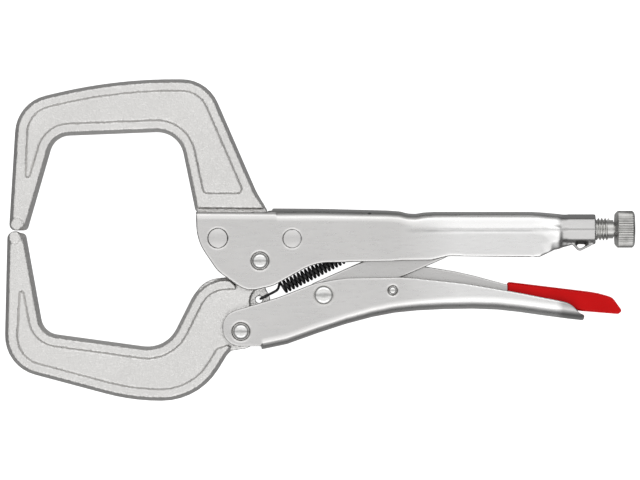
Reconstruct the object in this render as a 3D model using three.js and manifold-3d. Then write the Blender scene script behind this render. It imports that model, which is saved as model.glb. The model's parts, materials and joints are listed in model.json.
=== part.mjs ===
// Locking C clamp with an over-centre toggle, as separate pieces that come apart on a bench.
// Millimetres. While modelling, the origin is the axis of the jaw pivot rivet, on the clamp's middle plane:
// +X runs along the handles to the adjusting knob, +Y runs from the moving jaw to the fixed jaw,
// and +Z runs across the clamp. The finished clamp lies on its flank with its origin below its middle.
import * as THREE from "three";
import { mergeVertices } from "three/addons/utils/BufferGeometryUtils.js";
import Module from "manifold-3d";

const wasm = await Module();
wasm.setup();

// ---- Driving dimensions ----

const gap = 0.3; // between pieces that touch on the real clamp
const arcStep = THREE.MathUtils.degToRad(10); // longest step of an arc, by angle
const arcChord = 5; // and by length

// Jaws: forged C arms with a raised rim round a thinner web
const throatDepth = 73.2; // tip to the back wall of the throat
const throatBack = -36.3; // the back wall, from the jaw pivot
const contactHeight = 13.4; // where the tips meet
const fixedRise = 44.5; // tip to crown, inside the fixed jaw
const movingRise = 53; // the same in the moving jaw
const crownDepth = 23.2; // arm width over the back of the throat
const frontArm = 14; // arm width beside the tip's corner
const tipWidth = 8; // along X, at the tip
const shankThickness = 10;
const rimThickness = 13;
const outerRim = 5.1;
const innerRim = 5.1;
const draft = { reach: 1.6, rise: 2.8 }; // slope of the forging's sides
const padRadius = 2.7;
const padLength = 14.4; // across the clamp

// Sheet-metal handles
const fixedSheet = 2.5;
const movingSheet = 2.2;
const frontBend = 4.8; // outside radius of the fixed handle's fold at the head
const rearBend = 4.6; // and round the screw
const movingBend = 4.6;
const sideGap = 0.3; // between a cheek and what it straddles
const handleLength = 150; // jaw pivot to the end of the threaded sleeve
const sleeveLength = 16.3;
const sleeveAcross = 13.7; // over the corners of the eight-sided sleeve
const tubeBulge = 0.7; // how far the rear of the fixed handle stands out round the screw
const tubeLean = 0.6; // how far its sides lean in above the screw
const movingReach = 144.8; // jaw pivot to the end of the moving handle
const eyeWidth = 5;
const eyeSheet = 1;

// Toggle: handle pivot, link pivot and the link's end lie on one line when it is locked
const handlePivot = new THREE.Vector2(-8.5, -31.5);
const crankLength = 40.3; // handle pivot to link pivot
const linkLength = 71.6; // link pivot to the centre of the link's round end
const screwHeight = 14.1; // axis of the adjusting screw
const linkHalfWidth = 6.7;
const linkEndRadius = 4.5;
const linkSheet = 2;
const endPlay = 2.6; // link's end to the screw's tip

// Screw and knob
const threadDiameter = 10;
const threadPitch = 1.5;
const threadShown = 7.8; // sleeve to the neck under the knob
const threadSides = 8;
const neckRadius = 3.4;
const neckLength = 0.4;
const knobDiameter = 16.5;
const knobLength = 8.9;
const knobFlutes = 44;
const fluteDepth = 0.45;
const stubRadius = 2.6; // the screw's plain end inside the knob
const knobWall = 2.2; // left in front of the plain end

// Rivets: shank radii and heads
const pivotRadius = 3.6;
const fixingRadius = { front: 4.05, rear: 3.7 };
const leverPivotRadius = 1.7;
const pivotHead = { radius: 3.8, height: 1.9, sink: 4.4, depth: 0.5 };
const linkHead = { radius: 4.3, height: 1.9, sink: 4.6, depth: 0.3 };
const leverHead = { radius: 1.85, height: 1.2, sink: 2.6, depth: 0.4 };

// Spring, and the jaw's thin ear that holds its front hook
const wireRadius = 0.5;
const coilRadius = 2.55;
const coilPitch = 1.78;
const hookReach = 10.9; // eye to the first coil
const earThickness = 4;
const earRadius = 5;
const earHoleRadius = 1.6;
const anchorWidth = 2.6; // the tab in the fixed handle that holds the rear hook
const anchorSheet = 1.2;

// ---- Worked-out sizes and places ----

const drawnLength = 150; // the sizes that the profiles' own points are drawn at
const drawnReach = 144.8;
const drawnDepth = 73.2;
const tipX = throatBack - throatDepth;
const fixedCrown = contactHeight + fixedRise;
const movingCrown = contactHeight - movingRise;
const innerGap = Math.max(shankThickness, threadDiameter) + 2 * sideGap;
const jawShank = innerGap - 2 * sideGap; // the forged shanks fill the gap even when a thicker screw widens it
const fixedHalf = innerGap / 2 + fixedSheet;
const movingHalf = innerGap / 2 + movingSheet;
const linkHalf = innerGap / 2 - sideGap;
const leverHalf = linkHalf - linkSheet - 2 * gap;
const hubRadius = pivotRadius + 4.9;
const bossRadius = pivotRadius + 4.3;
const sleeveStart = handleLength - sleeveLength;
const sleeveFlat = (sleeveAcross / 2) * Math.cos(Math.PI / 8); // centre to a flat
const boltBore = threadDiameter / 2 + gap;
const topLine = screwHeight + 7.8; // the fixed handle's folded edge
const webDip = 0.9; // the web is pressed in where the spring's tab is lanced
const gripScale = handleLength / drawnLength;
const movingScale = movingReach / drawnReach;

// The link's end lies near the screw's axis, and the two toggle lengths lie on one line.
const toggleLength = crankLength + linkLength;
const linkEndHeight = screwHeight - 0.5;
const linkEnd = new THREE.Vector2(
  handlePivot.x + Math.sqrt(toggleLength ** 2 - (linkEndHeight - handlePivot.y) ** 2),
  linkEndHeight,
);
const linkPivot = handlePivot.clone().lerp(linkEnd, crankLength / toggleLength);
const linkAngle = Math.atan2(linkEnd.y - linkPivot.y, linkEnd.x - linkPivot.x);
const screwTip = linkEnd.x + linkEndRadius + endPlay;
const leverPivot = new THREE.Vector2(linkPivot.x + 30.8, linkPivot.y + 2.1);
const fixings = {
  front: new THREE.Vector2(-18.8, 10.1),
  rear: new THREE.Vector2(14.3, 9.9),
};
const earHole = new THREE.Vector2(-0.5, -17.3);
const springAnchor = new THREE.Vector2(linkPivot.x + 38.4, topLine - fixedSheet - webDip - 1.9);
const springAngle = Math.atan2(springAnchor.y - earHole.y, springAnchor.x - earHole.x);

// ---- Shape helpers ----

// A point by its distance along a line that leaves an origin at an angle, and its distance above that line.
function onLine(origin, angle, along, up) {
  return new THREE.Vector2(along, up).rotateAround(new THREE.Vector2(), angle).add(origin);
}

// Turns corners [x, y, radius] into points, with each radius drawn as an arc.
function rounded(corners) {
  const count = corners.length;
  const places = corners.map(([x, y]) => new THREE.Vector2(x, y));
  const ends = places.map((corner, i) => {
    const toBefore = places[(i + count - 1) % count].clone().sub(corner);
    const toAfter = places[(i + 1) % count].clone().sub(corner);
    const cosine = toBefore.dot(toAfter) / (toBefore.length() * toAfter.length());
    const half = Math.acos(THREE.MathUtils.clamp(cosine, -1, 1)) / 2;
    return { corner, toBefore, toAfter, half, reach: (corners[i][2] ?? 0) / Math.tan(half) };
  });
  return ends.flatMap(({ corner, toBefore, toAfter, half, reach }, i) => {
    const share = (side, other) => Math.min(1, (0.98 * side.length()) / (reach + other.reach));
    const before = share(toBefore, ends[(i + count - 1) % count]);
    const fit = Math.min(before, share(toAfter, ends[(i + 1) % count]));
    if (!(reach > 1e-3)) return [corner];
    const radius = reach * fit * Math.tan(half);
    const start = corner.clone().add(toBefore.setLength(reach * fit));
    const end = corner.clone().add(toAfter.setLength(reach * fit));
    const centre = start.clone().add(end).multiplyScalar(0.5).sub(corner);
    centre.setLength(radius / Math.sin(half)).add(corner);
    const from = Math.atan2(start.y - centre.y, start.x - centre.x);
    const turn = Math.atan2(end.y - centre.y, end.x - centre.x) - from;
    const sweep = Math.atan2(Math.sin(turn), Math.cos(turn));
    const steps = Math.ceil(Math.abs(sweep) * Math.max(1 / arcStep, radius / arcChord));
    return Array.from({ length: steps + 1 }, (_, k) => {
      const a = from + (sweep * k) / steps;
      return new THREE.Vector2(centre.x + radius * Math.cos(a), centre.y + radius * Math.sin(a));
    });
  });
}

// Where the line from p along u crosses the line from q along v.
function crossing(p, u, q, v) {
  return p.clone().addScaledVector(u, q.clone().sub(p).cross(v) / u.cross(v));
}

// Moves a run of corners sideways, to the left of its direction for a positive distance.
function inset(corners, distance) {
  const sides = corners.slice(1).map(([x, y], i) => {
    const from = new THREE.Vector2(corners[i][0], corners[i][1]);
    const along = new THREE.Vector2(x, y).sub(from).normalize();
    const shift = new THREE.Vector2(-along.y, along.x).multiplyScalar(distance);
    return { from: from.add(shift), to: new THREE.Vector2(x, y).add(shift), along };
  });
  const inner = sides.slice(1).map((side, i) => {
    const meet = crossing(sides[i].from, sides[i].along, side.from, side.along);
    const radius = corners[i + 1][2] - distance * Math.sign(sides[i].along.cross(side.along));
    return [meet.x, meet.y, Math.max(0.5, radius)];
  });
  const last = sides[sides.length - 1];
  return [[sides[0].from.x, sides[0].from.y, 0], ...inner, [last.to.x, last.to.y, 0]];
}

function solid(geometry) {
  const bare = geometry.index ? geometry.toNonIndexed() : geometry;
  const positions = new THREE.BufferGeometry().setAttribute("position", bare.getAttribute("position"));
  const merged = mergeVertices(positions, 1e-4);
  return new wasm.Manifold(
    new wasm.Mesh({
      numProp: 3,
      vertProperties: merged.attributes.position.array,
      triVerts: new Uint32Array(merged.index.array),
    }),
  );
}

// A flat plate with its middle at height z across the clamp, its edges sloped where a bevel is given.
function plate(points, thickness, { z = 0, bevel = { rise: 0, reach: 0 } } = {}) {
  const geometry = new THREE.ExtrudeGeometry(new THREE.Shape(points), {
    depth: thickness - 2 * bevel.rise,
    steps: 1,
    bevelEnabled: bevel.rise > 0,
    bevelThickness: bevel.rise,
    bevelSize: bevel.reach,
    bevelOffset: -bevel.reach,
    bevelSegments: 1,
  });
  return solid(geometry.translate(0, 0, z - thickness / 2 + bevel.rise));
}

function disc(centre, radius, thickness, { z = 0, sides = 28 } = {}) {
  const geometry = new THREE.CylinderGeometry(radius, radius, thickness, sides);
  return solid(geometry.rotateX(Math.PI / 2).translate(centre.x, centre.y, z));
}

// A round or many-sided bar along the screw's axis.
function bar(radius, from, to, sides = 24) {
  const geometry = new THREE.CylinderGeometry(radius, radius, to - from, sides);
  return solid(geometry.rotateZ(-Math.PI / 2).translate((from + to) / 2, screwHeight, 0));
}

function block(x, y, z) {
  const geometry = new THREE.BoxGeometry(x[1] - x[0], y[1] - y[0], z[1] - z[0]);
  return solid(geometry.translate((x[0] + x[1]) / 2, (y[0] + y[1]) / 2, (z[0] + z[1]) / 2));
}

// The same solid on both faces of the clamp.
function bothFaces(make) {
  return make(1).add(make(-1));
}

function skin(positions, index) {
  const geometry = new THREE.BufferGeometry();
  geometry.setAttribute("position", new THREE.Float32BufferAttribute(positions, 3));
  geometry.setIndex(index);
  return solid(geometry);
}

// Joins rings of points, each at one place along X, into one closed body.
function loft(given) {
  const flat = (ring) => ring.map((p) => new THREE.Vector2(p.y, p.z));
  const rings = THREE.ShapeUtils.isClockWise(flat(given[0])) ? given.map((ring) => ring.toReversed()) : given;
  const count = rings[0].length;
  const index = [];
  for (let i = 0; i + 1 < rings.length; i += 1) {
    for (let j = 0; j < count; j += 1) {
      const [a, b] = [i * count + j, i * count + ((j + 1) % count)];
      index.push(a, b, b + count, a, b + count, a + count);
    }
  }
  const last = (rings.length - 1) * count;
  const cap = (ring) => THREE.ShapeUtils.triangulateShape(flat(ring), []);
  cap(rings[0]).forEach(([a, b, c]) => index.push(a, c, b));
  cap(rings[rings.length - 1]).forEach(([a, b, c]) => index.push(last + a, last + b, last + c));
  return skin(rings.flat().flatMap((p) => p.toArray()), index);
}

// A folded sheet with its fold along X. Each station gives the fold's height and outside radius, and the rest
// of one cheek as [height, half width] from its open edge; side is 1 where the channel opens downwards.
function foldedSheet(stations, sheet, side) {
  const steps = 4;
  return loft(stations.map(({ x, height, bend, cheek }) => {
    const shoulder = cheek[cheek.length - 1][1];
    const run = (cut) => {
      const points = cheek.map(([y, z]) => [y, z - cut]);
      for (let k = 0; k <= steps; k += 1) {
        const a = (Math.PI / 2) * (k / steps);
        const radius = bend - cut;
        points.push([height - side * (bend - radius * Math.sin(a)), shoulder - bend + radius * Math.cos(a)]);
      }
      return points;
    };
    const there = run(0);
    const back = run(sheet);
    const mirrored = (points) => points.map(([y, z]) => [y, -z]).reverse();
    const ring = [...there, ...mirrored(there), ...mirrored(back).reverse(), ...back.reverse()];
    return ring.map(([y, z]) => new THREE.Vector3(x, y, z));
  }));
}

// Headed at both ends, its axis across the clamp.
function rivet(centre, radius, half, head) {
  const shoulder = half - head.depth + gap;
  const crown = head.height + head.depth - gap;
  const dome = (sign) =>
    [0, 22.5, 45, 67.5].map(THREE.MathUtils.degToRad).map((a) =>
      new THREE.Vector2(head.radius * Math.cos(a), sign * (shoulder + crown * Math.sin(a))),
    );
  const profile = [
    new THREE.Vector2(0, -half - head.height),
    ...dome(-1).reverse(),
    new THREE.Vector2(radius, -shoulder),
    new THREE.Vector2(radius, shoulder),
    ...dome(1),
    new THREE.Vector2(0, half + head.height),
  ];
  const geometry = new THREE.LatheGeometry(profile, 20);
  return solid(geometry.rotateX(Math.PI / 2).translate(centre.x, centre.y, 0));
}

// The hole and the two shallow head seats that a rivet needs in a folded handle.
function rivetSeat(centre, radius, half, head) {
  const sunk = bothFaces((face) => disc(centre, head.sink, head.depth * 2, { z: face * half, sides: 24 }));
  return disc(centre, radius + gap, 4 * half, { sides: 20 }).add(sunk);
}

// ---- Materials ----

function finish(color, roughness, metalness = 1) {
  return new THREE.MeshStandardMaterial({ color, roughness, metalness });
}
const nickelSheet = finish(0xc4c3c0, 0.34);
const nickelForging = finish(0xc8c7c4, 0.42);
const rivetSteel = finish(0xd8d8d6, 0.16);
const blackWire = finish(0x17150f, 0.45, 0.6);
const zincScrew = finish(0x9c9a95, 0.35);
const redPlastic = finish(0xc4141c, 0.4, 0);

// ---- Jaws ----

// The C arms' edges, as runs of corners from the tip round to the pivot end.
const backScale = throatDepth / drawnDepth;
const fixedOuter = [
  [tipX - 2.6, contactHeight, 0],
  [tipX + 0.9, fixedCrown + 12.8, 17.5],
  [throatBack - 28.9 * backScale, fixedCrown + crownDepth, 226],
  [throatBack + 12.8, fixedCrown + crownDepth, 17.3],
  [-1.7, topLine + 9, 20],
];
const fixedInner = [
  [tipX - 2.6 + tipWidth, contactHeight, 0],
  [tipX + frontArm + 3.6, fixedCrown - 2.2, 9],
  [throatBack, fixedCrown, 12],
  [-28.9, topLine + 0.5, 0],
];
const movingOuter = [
  [tipX - 3.3, contactHeight, 0],
  [tipX - 4.7, movingCrown - 7.6, 18],
  [throatBack - 20.6 * backScale, movingCrown - crownDepth + 0.3, 95],
  [throatBack + 9, movingCrown - crownDepth + 0.3, 29.5],
  [handlePivot.x - 6.3, handlePivot.y - 10.6, 0],
];
const movingInner = [
  [tipX - 3.3 + tipWidth, contactHeight, 0],
  [tipX + frontArm - 1.3, movingCrown + 7.5, 8.2],
  [throatBack - 5.7, movingCrown, 14.4],
  [-25.9, -7.4, 17.6],
  [-13, -7.4, 0],
];

// Both faces' hollows inside a jaw's rim, which end in a point near the tip and in corners at the other end.
function webHollows(outer, inner, side, apex, end) {
  const outerLine = inset(outer, -side * outerRim);
  const innerLine = inset(inner, side * innerRim);
  const outline = rounded([
    apex,
    ...outerLine.slice(1, -1),
    ...end(outerLine, innerLine),
    ...innerLine.slice(1, -1).reverse(),
  ]);
  const level = (jawShank + rimThickness) / 2;
  return bothFaces((face) => plate(outline, rimThickness, { z: face * level }));
}

// The pad across a jaw's nose that does the gripping.
const tipPad = (x, y) => disc(new THREE.Vector2(x, y), padRadius, padLength, { sides: 28 });

function fixedJaw() {
  const faceY = contactHeight + gap / 2;
  const arm = rounded([
    [fixedOuter[0][0], faceY, 2.6],
    ...fixedOuter.slice(1),
    [3.2, topLine + 0.7, 0],
    ...fixedInner.slice(1).reverse(),
    [fixedInner[0][0], faceY, 2],
  ]);
  const hollowFloor = topLine + 8;
  const atFloor = (run) => {
    const [[ax, ay], [bx, by]] = run.slice(-2);
    return [ax + ((bx - ax) * (hollowFloor - ay)) / (by - ay), hollowFloor, 2.2];
  };
  const end = (outerLine, innerLine) => [atFloor(outerLine), atFloor(innerLine)];
  const shankTop = topLine - fixedSheet - 1.2;
  const shank = rounded([
    [-28.4, topLine + 4, 0],
    [1.4, topLine + 4, 0],
    [5, shankTop, 0],
    [fixings.rear.x + 8, shankTop, 2],
    [fixings.rear.x + 8, fixings.rear.y - 7, 4],
    [fixings.front.x - 5.5, fixings.front.y - 7, 5],
    [-27, fixings.front.y + 2, 4],
  ]);
  const holes = disc(fixings.front, fixingRadius.front + gap, 30)
    .add(disc(fixings.rear, fixingRadius.rear + gap, 30));
  return plate(arm, rimThickness, { bevel: draft })
    .subtract(webHollows(fixedOuter, fixedInner, 1, [tipX + 4.6, contactHeight + 17, 1], end))
    .add(plate(shank, jawShank))
    .add(tipPad(tipX + 0.9, faceY + padRadius))
    .subtract(holes)
    .subtract(disc(new THREE.Vector2(), hubRadius + 2 * gap, 30));
}

function movingJaw() {
  const faceY = contactHeight - gap / 2;
  const arm = rounded([
    [movingOuter[0][0], faceY, 2.8],
    ...movingOuter.slice(1),
    [handlePivot.x, handlePivot.y - 4, 0],
    [handlePivot.x, -12, 0],
    ...movingInner.slice(1).reverse(),
    [movingInner[0][0], faceY - 1.1, 2],
  ]);
  const neck = rounded([
    [-36, -30, 0],
    [-24, -46, 0],
    [handlePivot.x - 5.4, handlePivot.y - 8.8, 3],
    [handlePivot.x, handlePivot.y - bossRadius, 0],
    [handlePivot.x + bossRadius, handlePivot.y, 4],
    [earHole.x + 3, earHole.y - earRadius, 3],
    [earHole.x + earRadius, earHole.y + 1, 2],
    [earHole.x + 2.8, earHole.y + 5.2, 0],
    [hubRadius - 2, 0, 0],
    [0, hubRadius, 0],
    [-hubRadius, 0, 0],
    [-14, -7.4, 6],
    [-25.9, -8.4, 12],
  ]);
  const end = (outerLine) => [
    outerLine[outerLine.length - 1],
    [handlePivot.x + 3, handlePivot.y - 3, 0],
    [handlePivot.x + 3, -12.6, 0],
  ];
  // The raised rim stops short of both handles' cheeks.
  const cheekRoom = disc(handlePivot, bossRadius + 0.7, 40)
    .add(plate(rounded(headOutline(0.35)), 40))
    .add(block([-11, 20], [handlePivot.y - 8, 0], [-20, 20]));
  const core = block([-200, 50], [-100, 60], [-jawShank / 2, jawShank / 2]);
  // The ear is thinner, with a round step beside it.
  const earStepCentre = new THREE.Vector2(earHole.x + 3.2, earHole.y - 1);
  const earStep = bothFaces((face) =>
    disc(earStepCentre, 7.5, rimThickness, { z: (face * (earThickness + rimThickness)) / 2 }),
  );
  return plate(arm, rimThickness, { bevel: draft })
    .subtract(webHollows(movingOuter, movingInner, -1, [tipX + 2.6, contactHeight - 19.5, 1], end))
    .subtract(cheekRoom.subtract(core))
    .add(plate(neck, jawShank))
    .add(disc(new THREE.Vector2(), hubRadius, jawShank))
    .add(disc(handlePivot, bossRadius, jawShank))
    .add(disc(earHole, earRadius, jawShank))
    .subtract(earStep)
    .add(tipPad(tipX, faceY - padRadius))
    .subtract(disc(earHole, earHoleRadius, 30, { sides: 20 }))
    .subtract(disc(new THREE.Vector2(), pivotRadius + gap, 30, { sides: 24 }))
    .subtract(disc(handlePivot, pivotRadius + gap, 30, { sides: 24 }));
}

// ---- Fixed handle ----

// The head's lower edge, from its top front corner round to the straight part; grow moves it outwards.
function headOutline(grow) {
  return [
    [-28.8 - grow, topLine + 5, 0],
    [-28.2 - grow, 9, 22],
    [-19 - grow, -4.5 - grow, 12],
    [-6, -13.9 - grow, 11],
    [6, -11.2 - grow, 16],
    [24.5, -0.9 - grow, 24],
    [45, -0.2 - grow, 0],
    [45, topLine + 5, 0],
  ];
}

// The folded sheet, flat-sided at the head and pressed to a tube shape round the screw.
function fixedHandleSheet() {
  const corner = sleeveAcross / 2;
  const half = fixedHalf;
  const flat = (x, height, lean = 0, bulge = 0) => {
    const bend = THREE.MathUtils.lerp(frontBend, rearBend, lean / tubeLean);
    const cheek = [
      [-20, half - lean * 0.4],
      [screwHeight - 6, half - lean * 0.1],
      [screwHeight - 1.5, half],
      [screwHeight, half + bulge],
      [height - bend - 0.2, half + bulge - lean],
    ];
    return { x, height, bend, cheek };
  };
  const closing = (x, height, part) => {
    const to = (a, b) => THREE.MathUtils.lerp(a, b, part);
    const cheek = [
      [to(-20, screwHeight - corner + 0.4), to(half - 0.3, 2.2)],
      [to(screwHeight - 6, screwHeight - 4.8), to(half + 0.2, corner * 0.72 + 0.7)],
      [to(screwHeight - 1.5, screwHeight - 1.2), to(half, corner + 0.2)],
      [screwHeight, to(half + tubeBulge, corner + 0.5)],
      [height - rearBend - 0.2, to(half + tubeBulge - tubeLean, corner * 0.78 + 0.4)],
    ];
    return { x, height, bend: rearBend, cheek };
  };
  const tab = springAnchor.x;
  return foldedSheet(
    [
      flat(-32, topLine + 1.8),
      flat(26, topLine + 1.4),
      flat(tab - 9.8, topLine + 0.6),
      flat(tab - 4.3, topLine + 0.2),
      flat(tab - 0.8, topLine - webDip * 0.8, tubeLean * 0.1),
      flat(tab + 2.7, topLine - webDip, tubeLean * 0.25, tubeBulge * 0.2),
      flat(tab + 6.2, topLine - webDip * 0.3, tubeLean * 0.4, tubeBulge * 0.4),
      flat(tab + 11.2, topLine, tubeLean * 0.65, tubeBulge * 0.7),
      flat(tab + 19.2, topLine, tubeLean, tubeBulge),
      flat(sleeveStart - 13, topLine, tubeLean, tubeBulge),
      closing(sleeveStart - 8.5, topLine - 0.2, 0.08),
      closing(sleeveStart - 4, topLine - 0.6, 0.45),
      closing(sleeveStart + 0.6, topLine - 1, 0.85),
    ],
    fixedSheet,
    1,
  );
}

function fixedHandle() {
  const s = gripScale;
  const step = screwHeight - 12; // height of the straight lower edge beside the grip
  const tail = sleeveStart;
  const sideOutline = rounded([
    ...headOutline(0).slice(0, -2),
    [76.5 * s, 0.2, 1],
    [84.5 * s, step, 1],
    [tail - 9, step - 0.5, 1],
    [tail - 2, screwHeight - 9.2, 6],
    [tail + 2.6, screwHeight - 8.5, 1],
    [tail + 3.9, screwHeight - 7.3, 1],
    [tail + 20, screwHeight - 7.3, 0],
    [tail + 20, topLine + 5, 0],
  ]);
  // The web is cut away at the head, where the jaw's arm comes up between the cheeks.
  const armSlot = block([-60, 3.6], [topLine, topLine + 20], [-20, 20])
    .add(block([-60, 5.4], [-40, topLine + 20], [-innerGap / 2, innerGap / 2]));
  const linkTop = linkEnd.y + linkEndRadius + 4 * gap;
  const linkRoom = block([45, screwTip], [-40, linkTop], [-innerGap / 2, innerGap / 2]);
  const lastRing = [2.2, 0.72 * sleeveAcross / 2];
  const underside = loft([
    [tail - 5, screwHeight - 9.3, lastRing[1] + 1],
    [tail + 5, screwHeight - 7.4, lastRing[0]],
  ].map(([x, low, wide]) => [
    new THREE.Vector3(x, low, -wide),
    new THREE.Vector3(x, low + 3, -wide),
    new THREE.Vector3(x, low + 3, wide),
    new THREE.Vector3(x, low, wide),
  ]));
  const sleeve = bar(sleeveAcross / 2, tail - 3, handleLength, 8);
  const tab = block(
    [springAnchor.x - anchorSheet / 2, springAnchor.x + anchorSheet / 2],
    [springAnchor.y - 1.5, topLine - webDip - fixedSheet / 2],
    [-anchorWidth / 2, anchorWidth / 2],
  );
  const foot = screwHeight - sleeveFlat;
  const eyeRun = [
    [tail + 4.5, foot + 0.3, 0],
    [tail + 6.2, foot - 0.8, 1],
    [tail + 8.8, foot - 3.7, 1.6],
    [handleLength - 2.2, foot - 1, 1.5],
    [handleLength, foot + 0.3, 0],
  ];
  const eye = plate(rounded([...eyeRun, ...inset(eyeRun, eyeSheet).reverse()]), eyeWidth);
  return fixedHandleSheet()
    .subtract(armSlot.add(linkRoom))
    .add(underside)
    .intersect(plate(sideOutline, 40))
    .add(sleeve)
    .add(tab)
    .add(eye)
    .subtract(bar(boltBore, tail - 40, handleLength + 5))
    .subtract(rivetSeat(new THREE.Vector2(), pivotRadius, fixedHalf, pivotHead))
    .subtract(disc(fixings.front, fixingRadius.front + gap, 40))
    .subtract(disc(fixings.rear, fixingRadius.rear + gap, 40));
}

// ---- Moving handle ----

function movingHandle() {
  const s = movingScale;
  const boss = bossRadius + 0.4;
  const noseFoot = handlePivot.y - bossRadius + 1.3;
  const sole = [
    [0.6, -39.6], [12, -37.2], [26, -32.2], [38, -28.3], [50, -25.1], [60, -23.2], [70, -22.2],
    [82, -21.6], [95, -21.4], [106, -21.8], [116, -22.9], [128, -24.6], [138, -25.9], [146, -26.8],
  ];
  const stations = sole.map(([x, height]) => ({
    x: x * s,
    height,
    bend: movingBend,
    cheek: [[height + 36, movingHalf], [height + movingBend + 0.2, movingHalf]],
  }));
  const nose = rounded([
    [handlePivot.x - 20, -5, 0],
    [12, -5, 0],
    [12, -32, 0],
    [0.8, -39.4 + movingBend, 0],
    [0.6, noseFoot, 0],
    [handlePivot.x - 20, noseFoot, 0],
  ]);
  const outline = rounded([
    [handlePivot.x - boss, noseFoot, boss * 0.95],
    [handlePivot.x - boss, handlePivot.y + boss - 0.6, boss * 0.95],
    [9, -16.1, 60],
    [24, -10.1, 30],
    [38, -7.5, 60],
    [66, -7.3, 60],
    [92 * s, -10.1, 100],
    [115 * s, -14.1, 60],
    [138.2 * s, -18.7, 9],
    [movingReach - 2.2, -23.2, 1],
    [movingReach, -24.2, 0.6],
    [movingReach - 1.5, -40, 0],
    [0.6, -60, 0],
    [0.6, noseFoot, 0],
  ]);
  const noseSide = (face) => plate(nose, movingSheet, { z: (face * (innerGap + movingSheet)) / 2 });
  return foldedSheet(stations, movingSheet, -1)
    .add(bothFaces(noseSide))
    .intersect(plate(outline, 40))
    .subtract(rivetSeat(handlePivot, pivotRadius, movingHalf, pivotHead))
    .subtract(rivetSeat(linkPivot, pivotRadius, movingHalf, linkHead))
    .subtract(rivetSeat(leverPivot, leverPivotRadius, movingHalf, leverHead));
}

// ---- Toggle link and release lever ----

const onLink = (along, up) => onLine(linkPivot, linkAngle, along, up);

// A channel that opens downwards, with round ends.
function toggleLink() {
  const outline = (cut) => {
    const wide = linkHalfWidth - cut;
    const deep = cut ? linkHalfWidth + 2 : linkHalfWidth;
    const tip = linkEndRadius - cut;
    return rounded([
      [-linkHalfWidth - cut, wide, cut ? 0 : 5],
      [linkLength * 0.78, wide, 12],
      [linkLength + tip, tip, tip * 0.9],
      [linkLength + tip, cut ? -deep : -tip, tip * 0.9],
      [linkLength * 0.78, -deep, 12],
      [-linkHalfWidth - cut, -deep, cut ? 0 : 5],
    ].map(([along, up, radius]) => [...onLink(along, up).toArray(), radius]).reverse());
  };
  return plate(outline(0), 2 * linkHalf)
    .subtract(plate(outline(linkSheet), 2 * (linkHalf - linkSheet)))
    .subtract(disc(linkPivot, pivotRadius + gap, 30, { sides: 24 }));
}

// The front end of the plastic grip, and the end of the lever's tail inside it.
const tailFront = 110.3;
const leverTail = movingReach + 10;

function releaseLever() {
  const hump = onLink(40, 2.4);
  const outline = rounded([
    [leverPivot.x - 5, leverPivot.y - 4.4, 4],
    [leverPivot.x - 4.4, leverPivot.y + 5, 3],
    [hump.x - 1.5, hump.y, 2],
    [hump.x + 2.6, hump.y - 0.6, 2],
    [leverPivot.x + 14.5, leverPivot.y + 10.6, 4],
    [leverPivot.x + 28, leverPivot.y + 8.4, 30],
    [96.5, -6.9, 30],
    [tailFront + 1, -10.9, 6],
    [leverTail, -17.4, 2],
    [leverTail, -20.2, 2],
    [tailFront + 8, -16.4, 20],
    [96, -14.6, 40],
    [70, -17.8, 20],
  ].reverse());
  return plate(outline, 2 * leverHalf).subtract(disc(leverPivot, leverPivotRadius + gap, 30, { sides: 20 }));
}

// A plastic sleeve dipped over the lever's tail.
function leverGrip() {
  const end = movingReach + 17.2;
  const outline = rounded([
    [tailFront, -9.3, 1.2],
    [movingReach + 6, -14.2, 40],
    [end - 4.6, -16.3, 5],
    [end - 0.2, -22.4, 1.1],
    [end - 2, -23.8, 1.3],
    [movingReach - 2, -22.4, 20],
    [tailFront + 8, -17.9, 10],
    [tailFront, -16.9, 1.2],
  ].reverse());
  const pocket = rounded([
    [tailFront - 2, -10, 0],
    [tailFront + 1, -10.9 + gap, 6],
    [leverTail + gap, -17.4 + gap, 2],
    [leverTail + gap, -20.2 - 2 * gap, 2],
    [tailFront + 8, -16.4 - gap, 20],
    [tailFront - 2, -16, 0],
  ].reverse());
  return plate(outline, innerGap - 4 * sideGap, { bevel: { reach: 0.7, rise: 1.3 } })
    .subtract(plate(pocket, 2 * (leverHalf + gap)));
}

// ---- Spring, screw and knob ----

// A round wire along a smooth run of points.
function wire(points, steps) {
  const section = new THREE.Shape(
    Array.from({ length: 5 }, (_, k) => {
      const a = (2 * Math.PI * k) / 5;
      return new THREE.Vector2(wireRadius * Math.cos(a), wireRadius * Math.sin(a));
    }),
  );
  const extrudePath = new THREE.CatmullRomCurve3(points, false, "catmullrom", 0.5);
  return solid(new THREE.ExtrudeGeometry(section, { steps, extrudePath, bevelEnabled: false }));
}

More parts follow.
